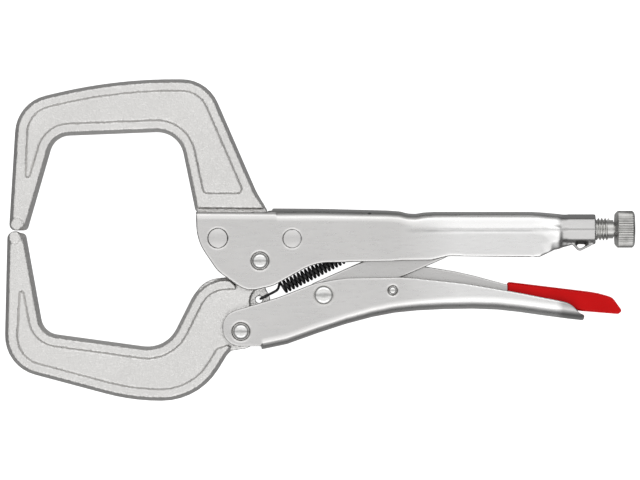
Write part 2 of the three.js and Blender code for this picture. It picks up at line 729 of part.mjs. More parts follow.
function tensionSpring() {
  const eye = onLine(earHole, springAngle, earHoleRadius - wireRadius - gap, 0);
  const at = (along, up, z) => {
    const p = onLine(eye, springAngle, along, up);
    return new THREE.Vector3(p.x, p.y, z);
  };
  const whole = springAnchor.distanceTo(eye);
  const side = earThickness / 2 + wireRadius + gap;
  const coilEnd = whole - 8;
  const turns = Math.round((coilEnd - hookReach) / coilPitch);
  const tabSide = anchorWidth / 2 + wireRadius + gap;
  const behindTab = (anchorSheet / 2 + wireRadius + gap) / Math.cos(springAngle);
  const path = [
    at(0, 0, -side),
    at(0, 0, 0),
    at(0, 0, side - 0.5),
    at(0.6, 0, side),
    at(4.5, 0, side),
    at(8, 0, side - 0.9),
    at(9.9, 0.9, 0.9),
  ];
  for (let k = 0; k <= turns * 8; k += 1) {
    const a = Math.PI / 2 - (Math.PI / 4) * k;
    const along = hookReach + ((coilEnd - hookReach) * k) / (turns * 8);
    path.push(at(along, coilRadius * Math.sin(a), coilRadius * Math.cos(a)));
  }
  path.push(
    at(coilEnd + 1.2, 1.2, 1.2),
    at(coilEnd + 3, 0, tabSide),
    at(whole - 1, 0, tabSide),
    at(whole + behindTab - 0.2, 0, tabSide - 0.1),
    at(whole + behindTab, 0, tabSide - 0.8),
    at(whole + behindTab, 0, -tabSide),
  );
  return wire(path, turns * 6 + 24);
}

// The thread's flanks wind round the axis as one strip, one pitch further on at each turn, up to plain ends.
function thread(from, to) {
  const crest = threadDiameter / 2;
  const root = crest - 0.61 * threadPitch;
  const rows = 2 * (Math.ceil((to - from) / threadPitch) + 2);
  const positions = [];
  for (let row = 0; row <= rows; row += 1) {
    for (let k = 0; k < threadSides; k += 1) {
      const a = (2 * Math.PI * k) / threadSides;
      const r = row % 2 ? crest : root;
      const x = from - threadPitch + (row / 2 + k / threadSides) * threadPitch;
      positions.push(x, screwHeight + r * Math.cos(a), r * Math.sin(a));
    }
  }
  const at = (row, k) => (k < threadSides ? row * threadSides + k : (row + 2) * threadSides);
  const index = [];
  for (let row = 0; row < rows; row += 1) {
    for (let k = 0; k < threadSides; k += 1) {
      const turnsRound = k + 1 === threadSides;
      if (turnsRound && row + 3 > rows) continue;
      index.push(at(row, k), at(row, k + 1), at(row + 1, k + 1));
      index.push(at(row, k), at(row + 1, k + 1), at(row + 1, k));
    }
  }
  // Each end is closed by a fan from the axis to the strip's open edge.
  const round = Array.from({ length: threadSides - 1 }, (_, k) => k + 1);
  const first = [0, ...round, at(0, threadSides), at(1, 0)];
  const final = [at(rows, 0)];
  for (let k = 1; k < threadSides; k += 1) final.push(at(rows, k));
  final.push(at(rows - 1, threadSides - 1), at(rows - 2, threadSides - 1));
  const fan = (edge, x, flip) => {
    const hub = positions.length / 3;
    positions.push(x, screwHeight, 0);
    edge.forEach((v, i) => {
      const next = edge[(i + 1) % edge.length];
      index.push(...(flip ? [hub, next, v] : [hub, v, next]));
    });
  };
  fan(first, from - threadPitch, true);
  fan(final, to + 3 * threadPitch, false);
  return skin(positions, index);
}

const neckStart = handleLength + threadShown;
const knobStart = neckStart + neckLength + gap;

function adjustingScrew() {
  return thread(screwTip, neckStart)
    .intersect(bar(threadDiameter, screwTip + 1.2, neckStart, 8))
    .add(bar(threadDiameter / 2 - 1.2, screwTip, screwTip + 3))
    .add(bar(neckRadius, neckStart - 0.6, neckStart + neckLength))
    .add(bar(stubRadius, neckStart, knobStart + knobLength - knobWall, 20));
}

function adjustingKnob() {
  const radius = knobDiameter / 2;
  const points = Array.from({ length: knobFlutes * 3 }, (_, k) => {
    const a = (2 * Math.PI * k) / (knobFlutes * 3);
    const r = radius - (k % 3 === 0 ? fluteDepth : 0);
    return new THREE.Vector2(r * Math.cos(a), r * Math.sin(a));
  });
  const straight = { depth: knobLength, steps: 1, bevelEnabled: false };
  const fluted = new THREE.ExtrudeGeometry(new THREE.Shape(points), straight);
  const drum = solid(fluted.rotateY(Math.PI / 2).translate(knobStart, screwHeight, 0));
  const profile = [
    [0, 0],
    [radius - 1.5, 0],
    [radius - 0.6, 0.8],
    [radius + 0.1, 2],
    [radius + 0.1, knobLength - 1.2],
    [radius - 0.5, knobLength - 0.4],
    [radius - 1.4, knobLength],
    [0, knobLength],
  ].map(([r, y]) => new THREE.Vector2(r, y));
  const turned = new THREE.LatheGeometry(profile, 36).rotateZ(-Math.PI / 2);
  const envelope = solid(turned.translate(knobStart, screwHeight, 0));
  const seat = bar(stubRadius + gap, knobStart - 1, knobStart + knobLength - knobWall + gap, 20);
  return drum.intersect(envelope).subtract(seat);
}

// ---- Assembly ----

function mesh(name, made, material) {
  const { numProp, vertProperties, triVerts } = made.getMesh();
  const positions = new Float32Array((vertProperties.length / numProp) * 3);
  for (let i = 0; i < positions.length / 3; i += 1) {
    positions.set(vertProperties.subarray(i * numProp, i * numProp + 3), i * 3);
  }
  const geometry = new THREE.BufferGeometry();
  geometry.setAttribute("position", new THREE.BufferAttribute(positions, 3));
  geometry.setIndex(new THREE.BufferAttribute(triVerts, 1));
  const faceted = geometry.toNonIndexed();
  faceted.computeVertexNormals();
  const made3d = new THREE.Mesh(faceted, material);
  made3d.name = name;
  return made3d;
}

const fixing = (end) => disc(fixings[end], fixingRadius[end], 2 * fixedHalf, { sides: 36 });

const clamp = new THREE.Group();
clamp.add(
  mesh("fixed_handle", fixedHandle(), nickelSheet),
  mesh("fixed_jaw", fixedJaw(), nickelForging),
  mesh("jaw_rivet_front", fixing("front"), nickelSheet),
  mesh("jaw_rivet_rear", fixing("rear"), nickelSheet),
  mesh("jaw_pivot_rivet", rivet(new THREE.Vector2(), pivotRadius, fixedHalf, pivotHead), rivetSteel),
  mesh("moving_jaw", movingJaw(), nickelForging),
  mesh("moving_handle", movingHandle(), nickelSheet),
  mesh("handle_pivot_rivet", rivet(handlePivot, pivotRadius, movingHalf, pivotHead), rivetSteel),
  mesh("toggle_link", toggleLink(), nickelSheet),
  mesh("link_pivot_rivet", rivet(linkPivot, pivotRadius, movingHalf, linkHead), rivetSteel),
  mesh("release_lever", releaseLever(), nickelSheet),
  mesh("release_lever_rivet", rivet(leverPivot, leverPivotRadius, movingHalf, leverHead), rivetSteel),
  mesh("release_lever_grip", leverGrip(), redPlastic),
  mesh("tension_spring", tensionSpring(), blackWire),
  mesh("adjusting_screw", adjustingScrew(), zincScrew),
  mesh("adjusting_knob", adjustingKnob(), zincScrew),
);

// The finished clamp lies on its flank, and its origin is below the middle of its outside box.
const outside = new THREE.Box3().setFromObject(clamp);
const middle = outside.getCenter(new THREE.Vector3());
clamp.position.set(-middle.x, -middle.y, -outside.min.z);

export default clamp;
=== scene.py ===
import bpy
import json
import math
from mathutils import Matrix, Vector


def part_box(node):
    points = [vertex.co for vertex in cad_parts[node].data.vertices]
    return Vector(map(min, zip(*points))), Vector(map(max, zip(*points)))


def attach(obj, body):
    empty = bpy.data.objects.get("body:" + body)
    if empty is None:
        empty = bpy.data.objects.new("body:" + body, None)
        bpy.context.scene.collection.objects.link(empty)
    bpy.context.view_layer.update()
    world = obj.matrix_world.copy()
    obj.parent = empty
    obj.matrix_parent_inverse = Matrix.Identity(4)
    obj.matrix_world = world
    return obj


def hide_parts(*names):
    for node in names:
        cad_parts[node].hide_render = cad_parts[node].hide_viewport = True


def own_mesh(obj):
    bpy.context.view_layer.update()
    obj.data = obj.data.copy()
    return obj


# Locking C clamp, finished for close views. Metres; X runs along the handles and Z across the clamp.

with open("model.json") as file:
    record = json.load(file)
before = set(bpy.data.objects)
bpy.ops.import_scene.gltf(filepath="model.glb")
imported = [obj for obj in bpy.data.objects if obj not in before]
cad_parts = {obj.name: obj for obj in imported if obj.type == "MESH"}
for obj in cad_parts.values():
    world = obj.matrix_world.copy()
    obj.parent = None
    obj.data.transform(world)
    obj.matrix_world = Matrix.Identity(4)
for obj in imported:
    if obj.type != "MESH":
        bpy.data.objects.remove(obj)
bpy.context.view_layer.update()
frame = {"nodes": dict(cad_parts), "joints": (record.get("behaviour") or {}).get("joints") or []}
bpy.ops.object.select_all(action="DESELECT")
mm = 0.001
pivots = {joint["name"]: Vector(joint["pos_m"]) for joint in frame["joints"] if "pos_m" in joint}
jawPivot = pivots["jaw_pivot"]


def atClamp(x, y, z=0.0):  # millimetres from the jaw pivot, on the clamp's middle plane
    return jawPivot + Vector((x, y, z)) * mm


print("frame loaded")

# camera, light and floor

studio = {
    "cameraHeight": 2.5,
    "viewWidth": 0.2861,
    "sensorWidth": 36.0,
    "clip": (0.05, 20.0),
    "floorSize": 6.0,
    "floorGrey": 0.5,
    "floorRoughness": 0.9,
    "floorGlow": 1.02,
    "skyStops": (  # from straight down to straight up
        (0.00, 0.34), (0.30, 0.36), (0.44, 0.12), (0.56, 0.13),
        (0.72, 0.42), (0.84, 0.92), (0.955, 0.92), (1.00, 0.96),
    ),
    "gapHalf": 0.20,
    "gapGlow": 0.48,
    "stripPower": 1.4,
    "stripSize": (1.7, 0.50),
    "stripPlaces": ((0.0, 0.92, 1.05), (0.0, -0.92, 1.05)),
}


def solid(colour):
    return (*colour, 1.0)


def makeCamera():
    bpy.ops.object.camera_add(location=(0.0, 0.0, studio["cameraHeight"]))
    camera = bpy.context.object
    camera.name = "camera"
    camera.data.sensor_width = studio["sensorWidth"]
    camera.data.lens = studio["sensorWidth"] * (studio["cameraHeight"] - jawPivot.z) / studio["viewWidth"]
    camera.data.clip_start, camera.data.clip_end = studio["clip"]
    bpy.context.scene.camera = camera


def makeSky():  # a grey ramp by height, darker in a gap between the two rows of softboxes
    world = bpy.data.worlds.new("studioSky")
    bpy.context.scene.world = world
    world.use_nodes = True
    nodes, links = world.node_tree.nodes, world.node_tree.links
    sky = nodes["Background"]
    coordinates = nodes.new("ShaderNodeTexCoord")
    split = nodes.new("ShaderNodeSeparateXYZ")
    height = nodes.new("ShaderNodeMapRange")
    ramp = nodes.new("ShaderNodeValToRGB")
    across = nodes.new("ShaderNodeMath")
    gap = nodes.new("ShaderNodeMapRange")
    height.inputs["From Min"].default_value = -1.0
    links.new(coordinates.outputs["Generated"], split.inputs["Vector"])
    links.new(split.outputs["Z"], height.inputs["Value"])
    links.new(height.outputs["Result"], ramp.inputs["Fac"])
    links.new(ramp.outputs["Color"], sky.inputs["Color"])
    across.operation = "ABSOLUTE"
    gap.inputs["From Max"].default_value = studio["gapHalf"]
    gap.inputs["To Min"].default_value = studio["gapGlow"]
    links.new(split.outputs["Y"], across.inputs[0])
    links.new(across.outputs["Value"], gap.inputs["Value"])
    links.new(gap.outputs["Result"], sky.inputs["Strength"])
    stops = ramp.color_ramp.elements
    for position, _ in studio["skyStops"][1:-1]:
        stops.new(position)
    for stop, (position, grey) in zip(stops, studio["skyStops"]):
        stop.position = position
        stop.color = solid((grey, grey, grey))


def makeStripLights():  # one long softbox on each side of the camera
    for spot in studio["stripPlaces"]:
        bpy.ops.object.light_add(type="AREA", location=spot)
        strip = bpy.context.object
        strip.name = "strip"
        strip.data.shape = "RECTANGLE"
        strip.data.size, strip.data.size_y = studio["stripSize"]
        strip.data.energy = studio["stripPower"]
        strip.rotation_mode = "QUATERNION"
        strip.rotation_quaternion = (-strip.location).to_track_quat("-Z", "Y")


def makeFloor():
    bpy.ops.mesh.primitive_plane_add(size=studio["floorSize"])
    floor = bpy.context.object
    floor.name = "floor"
    paint = bpy.data.materials.new("paleFloor")
    paint.use_nodes = True
    shader = paint.node_tree.nodes["Principled BSDF"]
    grey = studio["floorGrey"]
    shader.inputs["Base Color"].default_value = solid((grey, grey, grey))
    shader.inputs["Roughness"].default_value = studio["floorRoughness"]
    shader.inputs["Specular IOR Level"].default_value = 0.0
    shader.inputs["Emission Color"].default_value = solid((1.0, 1.0, 1.0))
    shader.inputs["Emission Strength"].default_value = studio["floorGlow"]
    floor.data.materials.append(paint)
    floor.visible_glossy = False  # the metal reflects the dark surround, and not the floor


makeCamera()
makeSky()
makeStripLights()
makeFloor()
bpy.context.scene.view_settings.view_transform = "Standard"
print("camera, light and floor made")

# finishes: patterns are on Object coordinates, so their scales are per metre; a bump is strength and depth


def startMaterial(name, metallic):
    material = bpy.data.materials.new(name)
    material.use_nodes = True
    tree = material.node_tree
    shader = tree.nodes["Principled BSDF"]
    shader.inputs["Metallic"].default_value = metallic
    coordinates = tree.nodes.new("ShaderNodeTexCoord").outputs["Object"]
    return material, tree, shader, coordinates


def addNoise(tree, coordinates, scale, detail=3.0, stretch=None):
    if stretch:
        mapping = tree.nodes.new("ShaderNodeMapping")
        mapping.inputs["Scale"].default_value = stretch
        tree.links.new(coordinates, mapping.inputs["Vector"])
        coordinates = mapping.outputs["Vector"]
    texture = tree.nodes.new("ShaderNodeTexNoise")
    texture.inputs["Scale"].default_value = scale
    texture.inputs["Detail"].default_value = detail
    tree.links.new(coordinates, texture.inputs["Vector"])
    return texture.outputs["Fac"]


def addRange(tree, value, low, high, fromLow=0.35, fromHigh=0.65):  # most of a noise lies from 0.35 to 0.65
    node = tree.nodes.new("ShaderNodeMapRange")
    node.inputs["From Min"].default_value = fromLow
    node.inputs["From Max"].default_value = fromHigh
    node.inputs["To Min"].default_value = low
    node.inputs["To Max"].default_value = high
    tree.links.new(value, node.inputs["Value"])
    return node.outputs["Result"]


def addMix(tree, factor, first, second):
    node = tree.nodes.new("ShaderNodeMix")
    node.data_type = "RGBA"
    tree.links.new(factor, node.inputs["Factor"])
    for socket, colour in ((node.inputs[6], first), (node.inputs[7], second)):  # its two colour sockets
        if isinstance(colour, tuple):
            socket.default_value = solid(colour)
        else:
            tree.links.new(colour, socket)
    return node.outputs[2]


def addBlend(tree, noise, first, second):
    return addMix(tree, addRange(tree, noise, 0.0, 1.0), first, second)


# hollowRange and the last share set the painted shade in hollows
corners = {"edgeRange": (0.53, 0.60), "hollowRange": (0.38, 0.47), "wear": 0.35, "hollowShadeShare": 0.75}


def addWearAndPaintedShade(tree, plain, worn, hollowShade, wear=corners["wear"]):  # edges take the worn colour, which on the sheet finish is a painted dark edge shade, and hollows get painted shade
    edge = tree.nodes.new("ShaderNodeNewGeometry").outputs["Pointiness"]
    # the worn edge colour: real wear on forgings, rivets and screw; painted dark edge shade on the sheet
    rubbed = addRange(tree, edge, 0.0, wear, *corners["edgeRange"])
    colour = addMix(tree, rubbed, plain, worn)
    # painted shade: darker in hollows, where shadow falls
    hollow = addRange(tree, edge, corners["hollowShadeShare"], 0.0, *corners["hollowRange"])
    return addMix(tree, hollow, colour, hollowShade)


def addSlopeShade(tree, plain, steep):  # painted shade on steep sides, from the piece's own attribute
    slope = tree.nodes.new("ShaderNodeAttribute")
    slope.attribute_name = "slope"
    return addMix(tree, slope.outputs["Fac"], plain, steep)


def finishShader(tree, shader, colour, roughness, bumps):
    tree.links.new(colour, shader.inputs["Base Color"])
    pattern, low, high = roughness
    tree.links.new(addRange(tree, pattern, low, high), shader.inputs["Roughness"])
    normal = None
    for height, (strength, depth) in bumps:
        bump = tree.nodes.new("ShaderNodeBump")
        bump.inputs["Strength"].default_value = strength
        bump.inputs["Distance"].default_value = depth
        tree.links.new(height, bump.inputs["Height"])
        if normal:
            tree.links.new(normal, bump.inputs["Normal"])
        normal = bump.outputs["Normal"]
    tree.links.new(normal, shader.inputs["Normal"])


def nickelForging():  # satin nickel over a forged and tumbled skin
    look = {
        "light": (0.85, 0.84, 0.825),
        "dull": (0.81, 0.80, 0.785),
        "worn": (0.90, 0.89, 0.88),
        # painted shade in hollows
        "hollowShade": (0.12, 0.12, 0.12),
        # painted shade on steep sides, deeper on their outward side; it stands partly for darker as-forged
        # drafts
        "steep": (0.16, 0.16, 0.16),
        "cloud": 45.0,
        "dimple": 650.0,
        "grain": 1250.0,
        "roughness": (0.30, 0.38),
        "dimpleBump": (0.45, 0.00022),
        "grainBump": (1.00, 0.00032),
    }
    material, tree, shader, coordinates = startMaterial("nickelForging", 1.0)
    cloud = addNoise(tree, coordinates, look["cloud"], 4.0)
    dimple = addNoise(tree, coordinates, look["dimple"], 2.0)
    grain = addNoise(tree, coordinates, look["grain"], 2.0)
    colour = addBlend(tree, cloud, look["dull"], look["light"])
    colour = addWearAndPaintedShade(tree, colour, look["worn"], look["hollowShade"])
    colour = addSlopeShade(tree, colour, look["steep"])
    bumps = ((dimple, look["dimpleBump"]), (grain, look["grainBump"]))
    finishShader(tree, shader, colour, (dimple, *look["roughness"]), bumps)
    return material


def nickelSheet(name="nickelSheet", rubbed=1.0, shade=1.0):  # satin nickel over rolled sheet
    look = {
        "light": (0.83 * shade, 0.82 * shade, 0.81 * shade),
        "dull": (0.80 * shade, 0.79 * shade, 0.78 * shade),
        # painted shade: dark lines along the sheet's edges, in place of edge wear
        "edgeShade": (0.20, 0.20, 0.20),
        "edgeShadeShare": 0.8,
        # painted shade in hollows
        "hollowShade": (0.10, 0.10, 0.10),
        # painted shade on steep sides
        "steep": (0.20, 0.20, 0.20),
        "held": (1.0, 0.995, 0.99),  # rubbed brighter where the hand holds it
        "heldFrom": (0.036, 0.062),
        "sleeve": (0.56, 0.555, 0.55),
        "sleeveFrom": (0.1055, 0.1085),
        "cloud": 45.0,
        "grain": 1500.0,
        "brushing": (0.10, 1.0, 1.0),
        "roughness": (0.27, 0.32),
        "brushedBump": (0.05, 0.00003),
        "grainBump": (0.25, 0.00005),
    }
    material, tree, shader, coordinates = startMaterial(name, 1.0)
    cloud = addNoise(tree, coordinates, look["cloud"], 4.0)
    brushed = addNoise(tree, coordinates, look["grain"], 3.0, look["brushing"])
    grain = addNoise(tree, coordinates, look["grain"], 2.0)
    along = tree.nodes.new("ShaderNodeSeparateXYZ")
    tree.links.new(coordinates, along.inputs["Vector"])
    held = addRange(tree, along.outputs["X"], 0.0, rubbed, *look["heldFrom"])
    sleeve = addRange(tree, along.outputs["X"], 0.0, 1.0, *look["sleeveFrom"])
    colour = addBlend(tree, cloud, look["dull"], look["light"])
    colour = addMix(tree, held, colour, look["held"])
    colour = addMix(tree, sleeve, colour, look["sleeve"])
    colour = addWearAndPaintedShade(tree, colour, look["edgeShade"], look["hollowShade"], look["edgeShadeShare"])
    colour = addSlopeShade(tree, colour, look["steep"])
    bumps = ((brushed, look["brushedBump"]), (grain, look["grainBump"]))
    finishShader(tree, shader, colour, (brushed, *look["roughness"]), bumps)
    return material


def brightNickel():  # rivet heads, rubbed smooth
    look = {
        "light": (0.88, 0.88, 0.87),
        "dull": (0.78, 0.775, 0.76),
        "worn": (0.88, 0.88, 0.87),
        # painted shade in hollows, such as the ring round each head's seat
        "hollowShade": (0.06, 0.06, 0.06),
        "scuff": 700.0,
        "grain": 2200.0,
        "roughness": (0.08, 0.16),
        "scuffBump": (0.08, 0.00005),
        "grainBump": (0.08, 0.00002),
    }
    material, tree, shader, coordinates = startMaterial("brightNickel", 1.0)
    scuff = addNoise(tree, coordinates, look["scuff"], 4.0)
    grain = addNoise(tree, coordinates, look["grain"], 2.0)
    colour = addBlend(tree, scuff, look["dull"], look["light"])
    colour = addWearAndPaintedShade(tree, colour, look["worn"], look["hollowShade"])
    bumps = ((scuff, look["scuffBump"]), (grain, look["grainBump"]))
    finishShader(tree, shader, colour, (scuff, *look["roughness"]), bumps)
    return material


def screwSteel():  # zinc-plated turned steel
    look = {
        "light": (0.70, 0.695, 0.68),
        "dull": (0.50, 0.495, 0.48),
        "worn": (0.82, 0.82, 0.80),
        # painted shade in hollows, such as the thread roots
        "hollowShade": (0.06, 0.06, 0.06),
        "cloud": 260.0,
        "turned": 1800.0,
        "turning": (1.0, 0.05, 0.05),
        "roughness": (0.26, 0.40),
        "turnedBump": (0.15, 0.00003),
        "cloudBump": (0.10, 0.00005),
    }
    material, tree, shader, coordinates = startMaterial("screwSteel", 1.0)
    turned = addNoise(tree, coordinates, look["turned"], 2.0, look["turning"])
    cloud = addNoise(tree, coordinates, look["cloud"], 4.0)
    colour = addBlend(tree, cloud, look["dull"], look["light"])
    colour = addWearAndPaintedShade(tree, colour, look["worn"], look["hollowShade"])
    bumps = ((turned, look["turnedBump"]), (cloud, look["cloudBump"]))
    finishShader(tree, shader, colour, (cloud, *look["roughness"]), bumps)
    return material


def blackWire():  # oiled black spring wire
    look = {
        "light": (0.030, 0.030, 0.032),
        "dull": (0.010, 0.010, 0.011),
        "drawn": 1300.0,
        "film": 240.0,
        "roughness": (0.26, 0.42),
        "drawnBump": (0.12, 0.00003),
    }
    material, tree, shader, coordinates = startMaterial("blackWire", 0.0)
    drawn = addNoise(tree, coordinates, look["drawn"])
    film = addNoise(tree, coordinates, look["film"])
    colour = addBlend(tree, film, look["dull"], look["light"])
    finishShader(tree, shader, colour, (film, *look["roughness"]), ((drawn, look["drawnBump"]),))
    return material


def redPlastic():  # glossy dipped plastic with a faint orange-peel skin
    look = {
        "light": (0.74, 0.002, 0.003),
        "dull": (0.66, 0.001, 0.002),
        "cloud": 70.0,
        "peel": 650.0,
        "grain": 2400.0,
        "shine": 0.14,
        "roughness": (0.28, 0.38),
        "peelBump": (0.08, 0.00008),
        "grainBump": (0.10, 0.00002),
    }
    material, tree, shader, coordinates = startMaterial("redPlastic", 0.0)
    shader.inputs["Specular IOR Level"].default_value = look["shine"]
    cloud = addNoise(tree, coordinates, look["cloud"])
    peel = addNoise(tree, coordinates, look["peel"], 2.0)
    grain = addNoise(tree, coordinates, look["grain"], 2.0)
    colour = addBlend(tree, cloud, look["dull"], look["light"])
    bumps = ((peel, look["peelBump"]), (grain, look["grainBump"]))
    finishShader(tree, shader, colour, (cloud, *look["roughness"]), bumps)
    return material


finishes = {
    "nickel_forging": nickelForging(),
    "nickel_sheet": nickelSheet(),
    "bright_rivet": brightNickel(),
    "screw_steel": screwSteel(),
    "black_wire": blackWire(),
    "red_plastic": redPlastic(),
}
shadedSheet = nickelSheet("shadedSheet", rubbed=0.0, shade=0.88)  # for the link and the lever: a darker copy of the sheet finish, painted shade as they sit in shadow
print("finishes made")

# helpers for pieces


def select(piece):
    bpy.ops.object.select_all(action="DESELECT")
    piece.select_set(True)
    bpy.context.view_layer.objects.active = piece


def addModifier(piece, kind, **settings):
    select(piece)
    modifier = piece.modifiers.new(kind.lower(), kind)
    for setting, value in settings.items():
        setattr(modifier, setting, value)
    bpy.ops.object.modifier_apply(modifier=modifier.name)


def smoothByAngle(piece, degrees):
    select(piece)
    bpy.ops.object.shade_smooth_by_angle(angle=math.radians(degrees))


def finishPiece(piece, name, body, slot, *nodes, finish=None):
    piece.name = name
    piece.data.name = name
    piece.data.materials.clear()
    piece.data.materials.append(finish or finishes[slot])
    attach(piece, body)
    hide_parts(*nodes)
    print("piece made:", name, len(piece.data.polygons), "faces")


def copyNode(node):  # a welded copy of a CAD node, to be refined
    copy = bpy.data.objects.new(node + "_copy", frame["nodes"][node].data.copy())
    bpy.context.collection.objects.link(copy)
    select(copy)
    bpy.ops.object.mode_set(mode="EDIT")
    bpy.ops.mesh.select_all(action="SELECT")
    bpy.ops.mesh.remove_doubles(threshold=0.002 * mm)
    bpy.ops.object.mode_set(mode="OBJECT")
    return copy


def relax(piece, passes, **settings):
    addModifier(piece, "SMOOTH", factor=0.5, iterations=passes, **settings)


def refine(piece, voxel, passes):  # an even skin with worn corners
    addModifier(piece, "REMESH", mode="VOXEL", voxel_size=voxel * mm, adaptivity=0.0)
    relax(piece, passes)
    select(piece)
    bpy.ops.object.shade_smooth()


def paintSlopeShade(piece, middle, outer, inner, tilts):  # painted shade on steep sides, deeper on the side facing out from the middle
    flat, steep = tilts
    slopes = piece.data.attributes.new("slope", "FLOAT", "POINT")
    for vertex, value in zip(piece.data.vertices, slopes.data):
        tilt = 1.0 - abs(vertex.normal.z)
        outward = vertex.normal.to_2d().dot((vertex.co - middle).to_2d())
        reach = min(1.0, max(0.0, (tilt - flat) / (steep - flat)))
        value.value = reach * (outer if outward > 0 else inner)


# forged jaws

jaws = {
    "voxel": 0.5,
    "passes": 3,
    "throatMiddle": (-70.0, 12.0),
    # painted shade on the jaws' outward steep sides, standing partly for darker as-forged drafts
    "outerSlopeShade": 0.4,
    "innerSlopeShade": 0.0,
    "tilts": (0.40, 0.75),
}


def makeJaw(node, body):
    piece = copyNode(node)
    refine(piece, jaws["voxel"], jaws["passes"])
    paintSlopeShade(piece, atClamp(*jaws["throatMiddle"]), jaws["outerSlopeShade"], jaws["innerSlopeShade"], jaws["tilts"])
    finishPiece(piece, node + "_forging", body, "nickel_forging", node)


# pressed handles, link and lever: lengths are millimetres along the clamp from the jaw pivot

pressings = {
    "fixed_handle": {"body": "clamp_frame", "voxel": 0.45},
    "moving_handle": {"body": "handle", "voxel": 0.45},
    "toggle_link": {"body": "link", "voxel": 0.4, "finish": shadedSheet},
    "release_lever": {"body": "lever", "voxel": 0.4, "finish": shadedSheet},
}
# the slope share and tilts set painted shade on the pressings' steep sides
sheet = {"passes": 2, "foldPasses": 3, "slope": 0.45, "tilts": (0.16, 0.45)}
wideFolds = {
    "fixed_handle": {"side": 1, "reach": (7.5, 66.0), "radii": (6.0, 5.0)},
    "moving_handle": {"side": -1, "reach": (2.0, 170.0), "radii": (4.5, 7.0)},
}
formedStretches = {  # where the sheet is blended from one section to the next
    "fixed_handle": ({"reach": (122.0, 137.5), "passes": 24}, {"reach": (62.0, 90.0), "passes": 10}),
}
# the crease: a painted shade line along the fixed handle
crease = {
    "height": 13.4,
    "spread": 1.1,
    "reach": (64.0, 132.0),
    "fade": 12.0,
    "depth": 0.7,
    "flatness": 0.6,
}
grip = {"voxel": 0.35, "passes": 6}


def widenFold(piece, side, reach, radii):  # rolls the sheet's corner to a larger radius
    middle = jawPivot.z
    low, high = (atClamp(x, 0.0).x for x in reach)
    slices = {}  # the fold's edge and the half width of each millimetre along the clamp
    for vertex in piece.data.vertices:
        at = round(vertex.co.x / mm)
        edge, half = slices.get(at, (-1.0, 0.0))
        slices[at] = (max(edge, side * vertex.co.y), max(half, abs(vertex.co.z - middle)))
    for vertex in piece.data.vertices:
        at = math.floor(vertex.co.x / mm)
        if not low < vertex.co.x < high or at not in slices or at + 1 not in slices:
            continue
        part = vertex.co.x / mm - at
        edge, half = (a * (1.0 - part) + b * part for a, b in zip(slices[at], slices[at + 1]))
        share = (vertex.co.x - low) / (high - low)
        radius = (radii[0] + (radii[1] - radii[0]) * share) * mm
        depth = edge - side * vertex.co.y
        if depth < radius:
            room = half - radius + math.sqrt(max(0.0, radius ** 2 - (radius - depth) ** 2))
            across = vertex.co.z - middle
            if abs(across) > room:
                vertex.co.z = middle + math.copysign(room, across)


def smoothStretch(piece, reach, passes):  # blends the formed shapes in one stretch of the sheet
    low, high = (atClamp(x, 0.0).x for x in reach)
    group = piece.vertex_groups.new(name="stretch")
    group.add([vertex.index for vertex in piece.data.vertices if low < vertex.co.x < high], 1.0, "REPLACE")
    relax(piece, passes, vertex_group="stretch")
    piece.vertex_groups.clear()


def paintCreaseShade(piece):  # painted shade: a dark line in the crease between the fixed handle's round rear and its cheeks
    start, end = crease["reach"]
    for vertex, value in zip(piece.data.vertices, piece.data.attributes["slope"].data):
        x, y, _ = (vertex.co - jawPivot) / mm
        ends = min(1.0, (x - start) / crease["fade"], (end - x) / crease["fade"])
        near = 1.0 - abs(y - crease["height"]) / crease["spread"]
        if ends > 0 and near > 0 and abs(vertex.normal.z) > crease["flatness"]:
            value.value = max(value.value, crease["depth"] * ends * near)


def makePressing(node, body, voxel, finish=None):
    piece = copyNode(node)
    refine(piece, voxel, sheet["passes"])
    if node in wideFolds:
        widenFold(piece, **wideFolds[node])
        relax(piece, sheet["foldPasses"])
    for stretch in formedStretches.get(node, ()):
        smoothStretch(piece, **stretch)
    paintSlopeShade(piece, jawPivot, sheet["slope"], sheet["slope"], sheet["tilts"])
    if node == "fixed_handle":
        paintCreaseShade(piece)
    finishPiece(piece, node + "_pressing", body, "nickel_sheet", node, finish=finish)


def makeGrip():
    piece = copyNode("release_lever_grip")
    refine(piece, grip["voxel"], grip["passes"])
    finishPiece(piece, "lever_grip_moulding", "lever", "red_plastic", "release_lever_grip")
    piece.visible_glossy = False  # keeps red glints off the steel beside it


makeJaw("fixed_jaw", "clamp_frame")
makeJaw("moving_jaw", "jaw")
for node, pressing in pressings.items():
    makePressing(node, **pressing)
makeGrip()
print("jaws, pressings and grip made")

# rivets: a head's profile is shares of its radius and of its rise

rivets = {
    "domed": (
        (1.0, 0.0), (0.97, 0.24), (0.91, 0.44), (0.82, 0.62),
        (0.70, 0.77), (0.55, 0.88), (0.38, 0.955), (0.18, 0.99),
    ),
    "low": ((1.0, 0.0), (0.96, 0.28), (0.88, 0.50), (0.76, 0.69), (0.60, 0.84), (0.40, 0.95), (0.18, 0.99)),
    "sides": 64,
    "headAngle": 50,
    "flushGrowth": 0.15,
    "flushBevel": 0.10,
    "flushSegments": 3,
    "flushAngle": 30,
}
headedRivets = {
    "jaw_pivot_rivet": {"name": "jaw_pivot_head", "body": "clamp_frame", "rise": 1.9, "profile": "domed"},
    "handle_pivot_rivet": {"name": "handle_pivot_head", "body": "handle", "rise": 1.9, "profile": "domed"},
    "link_pivot_rivet": {"name": "link_pivot_head", "body": "handle", "rise": 1.5, "profile": "low"},
    "release_lever_rivet": {"name": "lever_pivot_head", "body": "handle", "rise": 1.2, "profile": "low"},
}
flushRivets = {"jaw_rivet_front": "jaw_fixing_front", "jaw_rivet_rear": "jaw_fixing_rear"}


